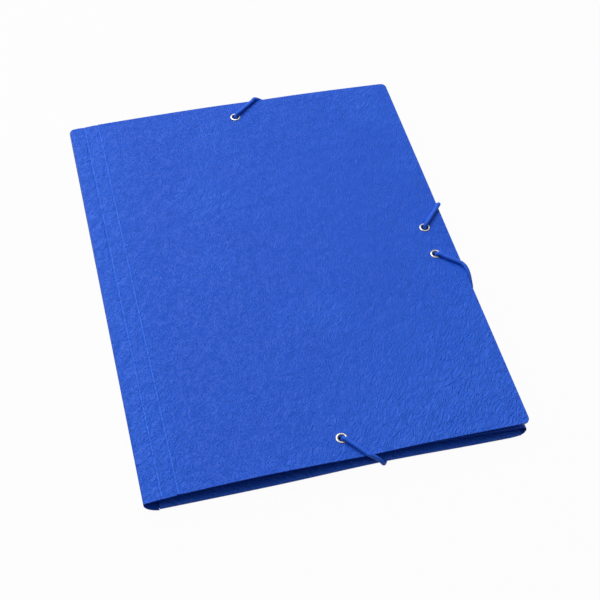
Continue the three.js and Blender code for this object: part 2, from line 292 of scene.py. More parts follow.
# Sheets: a grid of points on the middle of the card, given its thickness by a Solidify modifier
def spread(start, end, step, fine_start=(), fine_end=()):
    """Places from start to end, about a step apart, with finer ones at given distances from the ends."""
    way = 1 if end > start else -1
    inner_start = start + way * max(fine_start, default=0)
    inner_end = end - way * max(fine_end, default=0)
    count = max(1, round(abs(inner_end - inner_start) / step))
    places = [start] + [start + way * d for d in sorted(fine_start)]
    places += [mix(inner_start, inner_end, i / count) for i in range(1, count)]
    places += [end - way * d for d in sorted(fine_end, reverse=True)] + [end]
    return places


def new_object(name, mesh):
    made = bpy.data.objects.new(name, mesh)
    bpy.context.collection.objects.link(made)
    return made


def apply_modifiers(piece):
    """Leaves the piece with the mesh that its modifiers make."""
    graph = bpy.context.evaluated_depsgraph_get()
    mesh = bpy.data.meshes.new_from_object(piece.evaluated_get(graph))
    piece.modifiers.clear()
    old = piece.data
    piece.data = mesh
    bpy.data.meshes.remove(old)
    mesh.name = piece.name


def thicken(piece):
    """Card thickness both ways, softened cut edges, and smooth shading away from them."""
    solidify = piece.modifiers.new("thickness", "SOLIDIFY")
    solidify.thickness = CARD * MM
    solidify.offset = 0
    solidify.use_quality_normals = True
    solidify.use_rim = True
    solidify.material_offset = 1
    solidify.material_offset_rim = 2
    bevel = piece.modifiers.new("soft edges", "BEVEL")
    bevel.width = EDGE_SOFTNESS * MM
    bevel.segments = 2
    bevel.limit_method = "ANGLE"
    bevel.angle_limit = BEVEL_ANGLE
    apply_modifiers(piece)
    piece.data.shade_smooth()
    piece.data.set_sharp_from_angle(angle=SHARP_ANGLE)


def sheet_from_cells(name, points, flat, cells, materials, extra=()):
    """A sheet from points[i][j], its flat coordinates flat[i][j] and the cells (i, j) that it has."""
    mesh = bpy.data.meshes.new(name)
    build = bmesh.new()
    grain = build.verts.layers.float_vector.new("grain")
    made = {}

    def vertex(i, j):
        if (i, j) not in made:
            made[i, j] = build.verts.new(place(*points[i][j]))
            made[i, j][grain] = Vector(flat[i][j])
        return made[i, j]

    for i, j in cells:
        build.faces.new((vertex(i, j), vertex(i + 1, j), vertex(i + 1, j + 1), vertex(i, j + 1)))
    for ring_builder in extra:
        ring_builder(build, grain, vertex)
    build.normal_update()
    build.to_mesh(mesh)
    build.free()
    for material in materials:
        mesh.materials.append(material)
    return new_object(name, mesh)


# Materials: colours, and the card's grain in degrees, millimetres and scales per millimetre
CARD_BLUE = (0.01, 0.096, 0.63)
OUTSIDE_COLOURS = ((0.004, 0.072, 0.55), CARD_BLUE, (0.03, 0.14, 0.75))
INSIDE_COLOURS = ((0.006, 0.075, 0.53), CARD_BLUE, (0.016, 0.1, 0.62))
EDGE_COLOURS = ((0.002, 0.035, 0.36), (0.003, 0.045, 0.42), (0.004, 0.055, 0.48))
# Cord colours, from the painted shade between strands to the painted light on their tops
CORD_SHADED_COLOURS = ((0.009, 0.088, 0.6), (0.022, 0.15, 0.86))
NICKEL_COLOURS = ((0.58, 0.55, 0.48), (0.82, 0.79, 0.72))
WARP_SCALE, WARP_REACH = 0.12, 6.0
PEBBLE_SCALE, PEBBLE_ANGLE, PEBBLE_LONG, PEBBLE_WIDE = 0.8, 52, 1.5, 0.9
PEBBLE_EDGES = (0, 0.5, 0, 1)
PEBBLE_SHARE, LUMP_SHARE, FINE_SHARE = 0.85, 1.0, 0.25
LUMP_SCALE = 0.95
FINE_SCALE = 1.6
CREASE_SCALE, CREASE_ANGLE, CREASE_LONG, CREASE_WIDE = 0.72, 48, 4.0, 1.0
ZONE_SCALE = 0.014
ZONE_ENDS = (0.54, 0.74, 0.1, 1)
STRIP_ENDS = (60, 25, 0, 1)  # across the sheet from the back's score
LOW_FORE_ENDS, LOW_FORE_SLOPE = (40, 170, 0, 1), 1.2
GRAIN_DEPTH = 0.4
PATCH_SCALE = 0.02
PATCH_TONE = 0.2
# Painted shade and highlight: how far the grain's relief darkens its low places and lightens its tops
RELIEF_SHADE_TONE = 0.24
STRANDS_AROUND = 8.0
STRANDS_ALONG = 5.2


def node_material(name):
    material = bpy.data.materials.new(name)
    material.use_nodes = True
    nodes = material.node_tree.nodes
    links = material.node_tree.links
    return material, nodes, links, nodes["Principled BSDF"]


def add_node(nodes, kind, **settings):
    node = nodes.new(kind)
    for key, value in settings.items():
        if key in node.inputs:
            node.inputs[key].default_value = value
        else:
            setattr(node, key, value)
    return node


def math_node(nodes, links, operation, a, b=None):
    node = nodes.new("ShaderNodeMath")
    node.operation = operation
    for socket, value in zip(node.inputs, (a, b)):
        if value is None:
            continue
        if isinstance(value, (int, float)):
            socket.default_value = value
        else:
            links.new(value, socket)
    return node.outputs[0]


def turned_stretch(nodes, links, at, angle, along, across):
    """Coordinates that draw a texture out along an angle."""
    node = add_node(nodes, "ShaderNodeMapping", vector_type="TEXTURE")
    node.inputs["Rotation"].default_value = (0, 0, math.radians(angle))
    node.inputs["Scale"].default_value = (along, across, 1)
    links.new(at, node.inputs["Vector"])
    return node.outputs[0]


def noise_at(nodes, links, at, **settings):
    noise = add_node(nodes, "ShaderNodeTexNoise", **settings)
    links.new(at, noise.inputs["Vector"])
    return noise.outputs


def ranged(nodes, links, value, ends, **settings):
    """The value mapped from the first two ends to the last two."""
    node = add_node(nodes, "ShaderNodeMapRange", **settings)
    for name, end in zip(("From Min", "From Max", "To Min", "To Max"), ends):
        node.inputs[name].default_value = end
    links.new(value, node.inputs["Value"])
    return node.outputs[0]


def colour_by(nodes, links, value, colours):
    """A colour between the given ones, which lie evenly from 0 to 1."""
    ramp = add_node(nodes, "ShaderNodeValToRGB")
    stops = ramp.color_ramp.elements
    stops[0].color = (*colours[0], 1)
    stops[1].color = (*colours[-1], 1)
    for i, colour in enumerate(colours[1:-1], 1):
        stops.new(i / (len(colours) - 1)).color = (*colour, 1)
    links.new(value, ramp.inputs["Fac"])
    return ramp.outputs["Color"]


def bump_by(nodes, links, shader, height, strength, distance):
    bump = add_node(nodes, "ShaderNodeBump", Strength=strength, Distance=distance * MM)
    links.new(height, bump.inputs["Height"])
    links.new(bump.outputs[0], shader.inputs["Normal"])


def sheet_places(nodes, links):
    """Places on the flat sheet in millimetres, and the same apart: X, Y and, as Z, the painted highlight on
    the score ridges.
    """
    sheet = add_node(nodes, "ShaderNodeAttribute", attribute_name="grain")
    split = add_node(nodes, "ShaderNodeSeparateXYZ")
    links.new(sheet.outputs["Vector"], split.inputs[0])
    flat = add_node(nodes, "ShaderNodeCombineXYZ")
    links.new(split.outputs["X"], flat.inputs["X"])
    links.new(split.outputs["Y"], flat.inputs["Y"])
    return flat.outputs[0], split.outputs


def warped_places(nodes, links, at):
    """The places shifted a little by noise, so that the grain has no straight lines."""
    centred = add_node(nodes, "ShaderNodeVectorMath", operation="SUBTRACT")
    links.new(noise_at(nodes, links, at, Scale=WARP_SCALE, Detail=1.0)["Color"], centred.inputs[0])
    centred.inputs[1].default_value = (0.5, 0.5, 0.5)
    scaled = add_node(nodes, "ShaderNodeVectorMath", operation="SCALE")
    links.new(centred.outputs[0], scaled.inputs[0])
    scaled.inputs["Scale"].default_value = WARP_REACH
    warped = add_node(nodes, "ShaderNodeVectorMath", operation="ADD")
    links.new(at, warped.inputs[0])
    links.new(scaled.outputs[0], warped.inputs[1])
    return warped.outputs[0]


def pebble_height(nodes, links, warped, fine, strength):
    """Pebbles of about 2 mm, drawn out towards the top fore-edge corner, with a fine grain over them."""
    drawn = turned_stretch(nodes, links, warped, PEBBLE_ANGLE, PEBBLE_LONG, PEBBLE_WIDE)
    pebbles = add_node(nodes, "ShaderNodeTexVoronoi", feature="DISTANCE_TO_EDGE", Scale=PEBBLE_SCALE)
    links.new(drawn, pebbles.inputs["Vector"])
    from_edge = pebbles.outputs["Distance"]
    domes = ranged(nodes, links, from_edge, PEBBLE_EDGES, interpolation_type="SMOOTHSTEP")
    lumps = noise_at(nodes, links, drawn, Scale=LUMP_SCALE, Detail=1.0)["Fac"]
    height = math_node(nodes, links, "MULTIPLY", domes, PEBBLE_SHARE * strength)
    lump_height = math_node(nodes, links, "MULTIPLY", lumps, LUMP_SHARE * strength)
    fine_height = math_node(nodes, links, "MULTIPLY", fine, FINE_SHARE * strength)
    height = math_node(nodes, links, "ADD", height, lump_height)
    return math_node(nodes, links, "ADD", height, fine_height)


def crease_share(nodes, links, at, apart):
    """Creases are strongest on the strips by the spine, and show here and there elsewhere."""
    zone = noise_at(nodes, links, at, Scale=ZONE_SCALE, Detail=1.0)["Fac"]
    here = ranged(nodes, links, zone, ZONE_ENDS)
    strip = ranged(nodes, links, apart["X"], STRIP_ENDS)
    slope = math_node(nodes, links, "MULTIPLY", apart["Y"], LOW_FORE_SLOPE)
    low_fore = math_node(nodes, links, "SUBTRACT", apart["X"], slope)
    low_fore = ranged(nodes, links, low_fore, LOW_FORE_ENDS)
    share = math_node(nodes, links, "MAXIMUM", here, strip)
    return math_node(nodes, links, "MAXIMUM", share, low_fore)


def crease_height(nodes, links, warped, share, strength):
    """Wavy creases, longer than the pebbles and nearly the same way."""
    long_way = turned_stretch(nodes, links, warped, CREASE_ANGLE, CREASE_LONG, CREASE_WIDE)
    crease = noise_at(nodes, links, long_way, Scale=CREASE_SCALE, Detail=1.0)["Fac"]
    height = math_node(nodes, links, "MULTIPLY", crease, share)
    return math_node(nodes, links, "MULTIPLY", height, strength)


def card_material(name, colours, grain, crease, roughness, shine):
    """Card with its colours from dark to light, and the strengths of its pebbles and creases, whose relief
    is also painted in as shade and highlight.
    """
    material, nodes, links, shader = node_material(name)
    at, apart = sheet_places(nodes, links)
    warped = warped_places(nodes, links, at)
    fine = noise_at(nodes, links, at, Scale=FINE_SCALE, Detail=3.0, Roughness=0.6)["Fac"]
    pebbles = pebble_height(nodes, links, warped, fine, grain)
    creases = crease_height(nodes, links, warped, crease_share(nodes, links, at, apart), crease)
    height = math_node(nodes, links, "ADD", pebbles, creases)
    bump_by(nodes, links, shader, height, 1.0, GRAIN_DEPTH)

    patch = noise_at(nodes, links, at, Scale=PATCH_SCALE, Detail=2.0)["Fac"]
    tone_and_painted_shading = math_node(nodes, links, "MULTIPLY", patch, PATCH_TONE)
    # Painted shade and highlight: the grain's low places and creases are painted darker, its raised pebbles
    # lighter
    tone_and_painted_shading = math_node(nodes, links, "ADD", tone_and_painted_shading, math_node(nodes, links, "MULTIPLY", height, RELIEF_SHADE_TONE))
    # Painted highlight: the score ridges are painted lighter
    tone_and_painted_shading = math_node(nodes, links, "ADD", tone_and_painted_shading, apart["Z"])
    links.new(colour_by(nodes, links, tone_and_painted_shading, colours), shader.inputs["Base Color"])
    polish = ranged(nodes, links, fine, (0, 1, roughness + 0.08, roughness - 0.06))
    links.new(polish, shader.inputs["Roughness"])
    shader.inputs["Specular IOR Level"].default_value = shine
    return material


def cord_material():
    material, nodes, links, shader = node_material("braided cord")
    flat = add_node(nodes, "ShaderNodeAttribute", attribute_name="braid")
    split = add_node(nodes, "ShaderNodeSeparateXYZ")
    links.new(flat.outputs["Vector"], split.inputs[0])
    # Strands run both ways round the cord
    around = math_node(nodes, links, "MULTIPLY", split.outputs["Y"], STRANDS_AROUND)
    along = math_node(nodes, links, "MULTIPLY", split.outputs["X"], STRANDS_ALONG)
    one = math_node(nodes, links, "SINE", math_node(nodes, links, "ADD", around, along))
    two = math_node(nodes, links, "SINE", math_node(nodes, links, "SUBTRACT", around, along))
    weave = math_node(nodes, links, "MULTIPLY", one, two)
    bump_by(nodes, links, shader, weave, 0.5, 0.12)
    # Painted shade and highlight: the braid is painted darker where it dips between strands, lighter on
    # their tops
    tone_and_painted_shading = math_node(nodes, links, "MULTIPLY", weave, 0.5)
    tone_and_painted_shading = math_node(nodes, links, "ADD", tone_and_painted_shading, 0.5)
    links.new(colour_by(nodes, links, tone_and_painted_shading, CORD_SHADED_COLOURS), shader.inputs["Base Color"])
    shader.inputs["Roughness"].default_value = 0.6
    shader.inputs["Specular IOR Level"].default_value = 0.3
    return material


def nickel_material():
    material, nodes, links, shader = node_material("nickel plate")
    where = add_node(nodes, "ShaderNodeTexCoord")
    noise = noise_at(nodes, links, where.outputs["Object"], Scale=900.0, Detail=3.0)["Fac"]
    links.new(ranged(nodes, links, noise, (0, 1, 0.18, 0.34)), shader.inputs["Roughness"])
    links.new(colour_by(nodes, links, noise, NICKEL_COLOURS), shader.inputs["Base Color"])
    bump_by(nodes, links, shader, noise, 0.15, 0.03)
    shader.inputs["Metallic"].default_value = 1.0
    return material


outside = card_material(
    "leather grain card", OUTSIDE_COLOURS, grain=0.9, crease=2.7, roughness=0.41, shine=0.21
)
inside = card_material("card inside", INSIDE_COLOURS, grain=0.3, crease=0.2, roughness=0.5, shine=0.25)
cut_edge = card_material("cut card edge", EDGE_COLOURS, grain=0.15, crease=0.0, roughness=0.7, shine=0.08)
cord_finish = cord_material()
nickel = nickel_material()


# Front: one sheet from the back's score round the spine fold to the fore-edge
def shoulder(y):
    """The half width and the height of the round that turns the fold into the outer strip."""
    up = y / HEIGHT
    return mix(FOLD_RADIUS, SHOULDER_WIDTH, up), mix(FOLD_RADIUS, SHOULDER_DROP, up)


def spine_section(y):
    """Points (x, height) from the back's score round to the outer strip, on the middle of the card."""
    wide, high = shoulder(y)
    top = front_height(HALF_CARD + wide, y)
    fold = top - high
    start = BACK_SCORE + BACK_STRIP_LAP
    reach = start - HALF_CARD
    across, upward = BACK_STRIP_CURVE
    points = []
    for i in range(SPINE_STEPS):
        angle = math.pi / 2 * i / SPINE_STEPS
        points.append((
            start - reach * math.sin(angle) ** across,
            HALF_CARD + (fold - HALF_CARD) * (1 - math.cos(angle) ** upward),
        ))
    for i in range(FOLD_STEPS + 1):
        angle = math.pi - math.pi / 2 * i / FOLD_STEPS
        points.append((HALF_CARD + wide + wide * math.cos(angle), fold + high * math.sin(angle)))
    return points


def front_columns():
    """x values of the scores, the inner strip and the panel."""
    xs = [OUTER_SCORE + d for d in SCORE_COLUMNS]
    xs += BETWEEN_SCORES
    xs += [INNER_SCORE + d for d in SCORE_COLUMNS]
    xs += spread(INNER_SCORE + 2.2, WIDTH, PANEL_STEP, (), (0.35, 1.0))
    return xs


def front_rows():
    """y values, closer together at the rounded corners."""
    steps = range(1, CORNER_STEPS + 1)
    corner = [FRONT_CORNER * (1 - math.cos(math.pi / 2 * i / CORNER_STEPS)) for i in steps]
    ys = [0] + corner
    ys += spread(FRONT_CORNER, HEIGHT - FRONT_CORNER, PANEL_STEP)[1:-1]
    ys += [HEIGHT - y for y in reversed(corner)] + [HEIGHT]
    return ys


def corner_recess(y):
    """How far rounding takes the fore-edge back at the height y."""
    from_end = min(y, HEIGHT - y)
    if from_end >= FRONT_CORNER:
        return 0.0
    rest = FRONT_CORNER - from_end
    return FRONT_CORNER - math.sqrt(max(FRONT_CORNER**2 - rest**2, 0))


def spine_columns(ys, sections):
    """The back strip and the fold: points, flat coordinates and length."""
    middle = sections[len(ys) // 2]
    points, flat = [], []
    length = 0.0
    for i in range(len(middle)):
        if i:
            length += math.dist(middle[i - 1], middle[i])
        proud = SPINE_PROUD * max(0.0, 1 - i / SPINE_STEPS)
        column = []
        for y, section in zip(ys, sections):
            from_ends = math.exp(-(HEIGHT - y) / SPINE_PROUD_REACH) - math.exp(-y / SPINE_PROUD_REACH)
            column.append((section[i][0], y + proud * from_ends, section[i][1]))
        points.append(column)
        flat.append([(length, y, 0) for y in ys])
    return points, flat, length


def panel_column(x, ys, spine_length):
    """A column of the front at x, squeezed into the rounded corners near the fore-edge."""
    column, flat_column = [], []
    squeezed = 2 * FRONT_CORNER
    start = WIDTH - squeezed
    for y in ys:
        limit = WIDTH - corner_recess(y)
        at = x if x < start else mix(start, limit, (x - WIDTH + squeezed) / squeezed)
        nick = sum(NICK_DEPTH * hump(at, score - NICK_OFFSET, NICK_WIDTH) for score in SCORES)
        shift = nick * (math.exp(-y / NICK_REACH) - math.exp(-(HEIGHT - y) / NICK_REACH))
        # Painted highlight: the score ridges are painted lighter, as where light falls on them
        ridge_highlight = SCORE_RIDGE_HIGHLIGHT * sum(hump(at, score + SCORE_RIDGE_HIGHLIGHT_OFFSET, SCORE_RIDGE_HIGHLIGHT_WIDTH) for score in SCORES)
        column.append((at, y + shift, front_height(at, y) + score_relief(at)))
        flat_column.append((spine_length + at, y, ridge_highlight))
    return column, flat_column


def front_sheet():
    xs, ys = front_columns(), front_rows()
    sections = [spine_section(y) for y in ys]
    points, flat, length = spine_columns(ys, sections)
    for share in STRIP_SHARES:
        column, flat_column = [], []
        for y, section in zip(ys, sections):
            at = mix(section[-1][0], xs[0], share)
            column.append((at, y, front_height(at, y)))
            flat_column.append((length + at - section[-1][0], y, 0))
        points.append(column)
        flat.append(flat_column)
    spine_length = length - sections[len(ys) // 2][-1][0]
    strip_start = len(points)
    for x in xs:
        column, flat_column = panel_column(x, ys, spine_length)
        points.append(column)
        flat.append(flat_column)
    column_of = {strip_start + k: x for k, x in enumerate(xs)}
    cells = {(i, j) for i in range(len(points) - 1) for j in range(len(ys) - 1)}
    rings = []
    for middle in EYELETS.values():
        left = min(column_of, key=lambda i: abs(column_of[i] - middle[0] + HOLE_BLOCK))
        right = min(column_of, key=lambda i: abs(column_of[i] - middle[0] - HOLE_BLOCK))
        low = min(range(len(ys)), key=lambda j: abs(ys[j] - middle[1] + HOLE_BLOCK))
        high = min(range(len(ys)), key=lambda j: abs(ys[j] - middle[1] - HOLE_BLOCK))
        cells -= {(i, j) for i in range(left, right) for j in range(low, high)}
        rings.append(hole_ring(middle, left, right, low, high, points, spine_length))
    return sheet_from_cells("front_card", points, flat, sorted(cells), (outside, inside, cut_edge), rings)


def hole_ring(middle, left, right, low, high, points, flat_shift):
    """Fills a block of the grid round an eyelet with rings that end at its round hole."""

    def build_rings(build, grain, vertex):
        border = [(i, low) for i in range(left, right)]
        border += [(right, j) for j in range(low, high)]
        border += [(i, high) for i in range(right, left, -1)]
        border += [(left, j) for j in range(high, low, -1)]
        outer = [vertex(i, j) for i, j in border]
        spots = [Vector(points[i][j][:2]) for i, j in border]
        for share in HOLE_RINGS:
            inner = []
            for spot in spots:
                away = spot - Vector(middle)
                rim = Vector(middle) + away.normalized() * HOLE
                at = spot.lerp(rim, share)
                new = build.verts.new(place(at.x, at.y, front_height(at.x, at.y)))
                new[grain] = Vector((at.x + flat_shift, at.y, 0))
                inner.append(new)
            for k in range(len(outer)):
                after = (k + 1) % len(outer)
                build.faces.new((outer[k], outer[after], inner[after], inner[k]))
            outer = inner

    return build_rings


front_card = front_sheet()
thicken(front_card)


# Back: the panel with its small flaps, and beyond it the nose, a round fold, and the large flap
FOLD_Y = FLAP_FOLD + HALF_CARD - FLAP_PROUD
NOSE_X = WIDTH - LARGE_FLAP_INSET - HALF_CARD
PANEL_START = BACK_SCORE + SEAT
PANEL_END = NOSE_X - NOSE_LEVEL
INNER_X = WIDTH - LARGE_FLAP_INSET - LARGE_FLAP_WIDTH
MEETS_X = WIDTH - LARGE_FLAP_MEETS
CREASE_X = NOSE_X - NOSE_RUN - LARGE_FLAP_CREASE
CREASE_HEIGHT = NOSE_TOP + CREASE_RISE


def back_rows():
    """Rows (y, height, share of the flap, end) from flap to flap, and the numbers of the panel's own."""
    flap_rows = []
    for share in FLAP_SHARES:
        y = mix(FLAP_WIDTH - FLAP_PROUD, FOLD_Y, share)
        flap_rows.append((y, HALF_CARD + 2 * FLAP_FOLD + FLAP_RISE * (1 - share), share))
    for i in range(FLAP_FOLD_STEPS):
        angle = math.pi / 2 + math.pi * i / FLAP_FOLD_STEPS
        y = FOLD_Y + FLAP_FOLD * math.cos(angle)
        flap_rows.append((y, HALF_CARD + FLAP_FOLD + FLAP_FOLD * math.sin(angle), 1))
    rows = [(y, z, share, 0.0) for y, z, share in flap_rows]
    panel_ys = spread(FOLD_Y, HEIGHT - FOLD_Y, BACK_STEP, BACK_EDGE_ROWS, BACK_EDGE_ROWS)
    panel_first = len(rows)
    rows += [(y, HALF_CARD, 1, None) for y in panel_ys]
    panel_last = len(rows) - 1
    rows += [(HEIGHT - y, z, share, HEIGHT) for y, z, share in reversed(flap_rows)]
    return rows, panel_first, panel_last


def back_columns():
    """Columns from the back's score to the large flap's edge, and the numbers of those with small flaps."""
    xs = [BACK_SCORE - 0.3, BACK_SCORE + 0.3, PANEL_START, PANEL_START + 0.4, PANEL_START + 1.2]
    xs += spread(PANEL_START + BACK_STEP, PANEL_END, BACK_STEP, (), (0.4, 1.2))
    flap_xs = [CREASE_X + d for d in CREASE_COLUMNS]
    flap_xs += spread(CREASE_X - 4, MEETS_X, BACK_STEP)
    flap_xs += spread(MEETS_X - 2, INNER_X, 2.0, (), (0.4, 1.2))
    columns = [(panel_point, x) for x in xs]
    columns += [(nose_point, i / NOSE_STEPS) for i in range(NOSE_STEPS + 1)]
    columns += [(flap_point, x) for x in flap_xs]
    return columns, xs.index(PANEL_START), len(xs) - 1


def inset(y, share):
    """Rows of the nose and the large flap end behind those of the panel."""
    inside_y = mix(LARGE_FLAP_RECESS, HEIGHT - LARGE_FLAP_RECESS, (y - FOLD_Y) / (HEIGHT - 2 * FOLD_Y))
    return mix(y, inside_y, share)


def panel_point(x, row):
    """A point of the panel or, on a row of a small flap, of that flap."""
    y, z, share, edge = row
    if edge is None:
        return x, y, z + back_lift(x, y)
    if share == 1:
        # The fold narrows towards the nose
        lost, over = FLAP_NARROWING
        turn_y = FOLD_Y if edge == 0 else HEIGHT - FOLD_Y
        y = turn_y + (y - turn_y) * (1 - lost * smoothstep(PANEL_END - over, PANEL_END, x))
    slant = FLAP_TAPER * (1 - share)
    along = (x - PANEL_START) / (PANEL_END - PANEL_START)
    at = mix(PANEL_START + slant, PANEL_END - slant, along)
    near = 0 if edge == 0 else HEIGHT
    return at, y, z + mix(back_lift(at, near), back_lift(at, y), 1 - share)


def nose_point(share, row):
    y = inset(row[0], smoothstep(0, 0.5, share))
    low = HALF_CARD + back_lift(PANEL_END, y)
    radius = (NOSE_TOP - low) / 2
    angle = math.pi * (share - 0.5)
    return NOSE_X - radius + radius * math.cos(angle), y, low + radius + radius * math.sin(angle)


def flap_corner(x, y):
    """x on the large flap, drawn in at its rounded inner corners."""
    from_end = min(y - LARGE_FLAP_RECESS, HEIGHT - LARGE_FLAP_RECESS - y)
    rest = max(LARGE_FLAP_CORNER - from_end, 0)
    recess = LARGE_FLAP_CORNER - math.sqrt(max(LARGE_FLAP_CORNER**2 - rest**2, 0))
    start = INNER_X + 3 * LARGE_FLAP_CORNER
    return x if x > start else mix(start, INNER_X + recess, (start - x) / (start - INNER_X))


def flap_point(x, row):
    """The large flap runs level from the nose, turns up at its crease and meets the cover."""
    y = inset(row[0], 1)
    at = flap_corner(x, y)
    if at > CREASE_X:
        share = (at - CREASE_X) / (NOSE_X - NOSE_RUN - CREASE_X)
        return at, y, mix(CREASE_HEIGHT, NOSE_TOP, min(share, 1))
    under = front_under(at, y) - CONTACT - HALF_CARD
    meets_height = front_under(MEETS_X, y) - CONTACT - HALF_CARD
    share = min((CREASE_X - at) / (CREASE_X - MEETS_X), 1)
    rising = mix(CREASE_HEIGHT, meets_height, share) + LARGE_FLAP_BOW * math.sin(math.pi * share)
    return at, y, min(rising, under) if share < 1 else under


def back_sheet():
    rows, panel_first, panel_last = back_rows()
    columns, flap_first, flap_last = back_columns()
    points = [[maker(value, row) for row in rows] for maker, value in columns]

    # Flat coordinates: lengths across in the panel's middle row, and along in the first whole column
    whole = points[flap_first]
    alongs = [0.0]
    for before, after in zip(whole, whole[1:]):
        alongs.append(alongs[-1] + math.dist(before[1:], after[1:]))
    middle_row = (panel_first + panel_last) // 2
    flat = []
    across = 0.0
    for i, column in enumerate(points):
        if i:
            across += math.dist(points[i - 1][middle_row], column[middle_row])
        flat.append([(BACK_GRAIN_START + across, along, 0) for along in alongs])

    cells = set()
    for i in range(len(columns) - 1):
        with_flaps = flap_first <= i < flap_last
        span = range(len(rows) - 1) if with_flaps else range(panel_first, panel_last)
        cells |= {(i, j) for j in span}
    return sheet_from_cells("back_card", points, flat, sorted(cells), (inside, outside, cut_edge))


back_card = back_sheet()
thicken(back_card)


# Eyelets: a rolled flange over the card, a barrel and a clinched ring under it
def lathe(name, profile, sides, material):
    build = bmesh.new()
    rings = []
    for radius, height in profile:
        ring = []
        for k in range(sides):
            angle = 2 * math.pi * k / sides
            spot = Vector((radius * math.cos(angle), radius * math.sin(angle), height))
            ring.append(build.verts.new(spot * MM))
        rings.append(ring)
    for a, b in zip(rings, rings[1:] + rings[:1]):
        for k in range(sides):
            after = (k + 1) % sides
            build.faces.new((a[k], a[after], b[after], b[k]))
    bmesh.ops.recalc_face_normals(build, faces=build.faces)
    mesh = bpy.data.meshes.new(name)
    build.to_mesh(mesh)
    build.free()
    mesh.shade_smooth()
    mesh.materials.append(material)
    return new_object(name, mesh)


def eyelet_profile():
    """Radius and height round the metal: barrel, rolled flange, bore and clinched ring."""
    seat = HALF_CARD + SEAT_GAP
    rim = seat + FLANGE_EDGE
    middle = (FLANGE + BORE) / 2
    reach = FLANGE - middle
    round_over = FLANGE_RISE - FLANGE_EDGE
    profile = [(BARREL, -seat), (BARREL, seat), (FLANGE - 0.1, seat), (FLANGE, rim)]
    for i in range(1, 10):
        angle = math.pi * i / 10
        profile.append((middle + reach * math.cos(angle), rim + round_over * math.sin(angle)))
    clinch_top = -seat - 0.2
    profile += [(BORE, seat), (BORE, clinch_top)]
    for i in range(9):
        angle = math.pi + math.pi * i / 8
        radius = CLINCH_MIDDLE + CLINCH_WIDTH * math.cos(angle)
        profile.append((radius, clinch_top + CLINCH_DEPTH * math.sin(angle)))
    profile.append((CLINCH_OUTER, -seat - 0.05))
    return profile


def seat_eyelet(name, x, y):
    piece = lathe(name + "_metal", eyelet_profile(), EYELET_SIDES, nickel)
    d = SLOPE_REACH
    slope_x = (front_height(x + d, y) - front_height(x - d, y)) / (2 * d)
    slope_y = (front_height(x, y + d) - front_height(x, y - d)) / (2 * d)
    up = Vector((-slope_x, -slope_y, 1)).normalized()
    turn = up.to_track_quat("Z", "Y").to_matrix().to_4x4()
    piece.data.transform(Matrix.Translation(place(x, y, front_height(x, y))) @ turn)
    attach(piece, "cover")
    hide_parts(name)


for eyelet_name, eyelet_place in EYELETS.items():
    seat_eyelet(eyelet_name, *eyelet_place)


# Cords
def leave_eyelet(eyelet, towards):
    x, y = eyelet
    heading = (Vector(towards) - Vector(eyelet)).normalized()
    top = front_top(x, y)
    flange = top + FLANGE_TOP
    # Distance from the eyelet's middle, and height
    steps = (
        (0.5, front_under(x, y) - 2.4),
        (0.8, front_height(x, y)),
        (1.2, flange + 0.3),
        (2.5, flange + CORD_RADIUS + 0.1),
        (FLANGE + 0.8, flange + CORD_RADIUS - 0.25),
        (2.5 * FLANGE, top + CORD_RADIUS + 0.15),
    )
    return [(x + heading.x * d, y + heading.y * d, z) for d, z in steps]


def cord_route(cord):
    """Points of a cord's middle: a run over the front, the loop under the back, and a run again."""
    first, last = (EYELETS[name] for name in cord["ends"])
    edge, out = cord["edge"], cord["outward"]
    over_end, under_end = cord["over_end"], cord["under_end"]
    over_fore, under_fore = cord["over_fore"], cord["under_fore"]
    reach = CORD_RADIUS + CORD_GAP
    out_x = WIDTH + reach
    end_top = front_top(over_end, edge) + reach
    fore_top = front_top(WIDTH, over_fore) + reach

    # Round the top or bottom edge, level under the back's corner, and round the fore-edge
    round_end = [(over_end - 1.5, edge - out * 1.2, end_top)]
    for share, away, drop in cord["end_steps"]:
        round_end.append((mix(over_end, under_end, share), edge + out * away, end_top - drop))
    round_end.append((under_end + 0.4, edge + out * 1.2, TURN_HEIGHT))
    under = [
        (
            mix(under_end + 4, WIDTH - RUN_INSET, share),
            mix(edge - out * RUN_INSET, under_fore + out * RUN_INSET, share),
            RUN_HEIGHT,
        )
        for share in RUN_SHARES
    ]
    round_fore = [(WIDTH - 1, under_fore + out, TURN_HEIGHT)]
    for share, away, drop in FORE_STEPS:
        round_fore.append((out_x + away, mix(over_fore, under_fore, share), fore_top - drop))
    round_fore.append((WIDTH - 0.6, mix(over_fore, last[1], 0.06), fore_top))
    start = leave_eyelet(first, (over_end, edge))
    end = leave_eyelet(last, (WIDTH, over_fore))[::-1]
    return start, [*round_end, *under, *round_fore], end


def centripetal(points, step):
    """A centripetal Catmull-Rom curve through the points, about a step apart, with each point's number."""
    pts = [Vector(p) for p in points]
    pts = [2 * pts[0] - pts[1], *pts, 2 * pts[-1] - pts[-2]]
    made, at = [], []
    for k in range(1, len(pts) - 2):
        a, b, c, d = pts[k - 1 : k + 3]
        t0 = 0.0
        t1 = t0 + (b - a).length ** 0.5
        t2 = t1 + (c - b).length ** 0.5
        t3 = t2 + (d - c).length ** 0.5
        count = max(2, round((c - b).length / step))
        for i in range(count):
            t = mix(t1, t2, i / count)
            a1 = a * ((t1 - t) / (t1 - t0)) + b * ((t - t0) / (t1 - t0))
            a2 = b * ((t2 - t) / (t2 - t1)) + c * ((t - t1) / (t2 - t1))
            a3 = c * ((t3 - t) / (t3 - t2)) + d * ((t - t2) / (t3 - t2))
            b1 = a1 * ((t2 - t) / (t2 - t0)) + a2 * ((t - t0) / (t2 - t0))
            b2 = a2 * ((t3 - t) / (t3 - t1)) + a3 * ((t - t1) / (t3 - t1))
            made.append(b1 * ((t2 - t) / (t2 - t1)) + b2 * ((t - t1) / (t2 - t1)))
            at.append(k - 1 + i / count)
    made.append(pts[-2])
    at.append(len(pts) - 3)
    return made, at


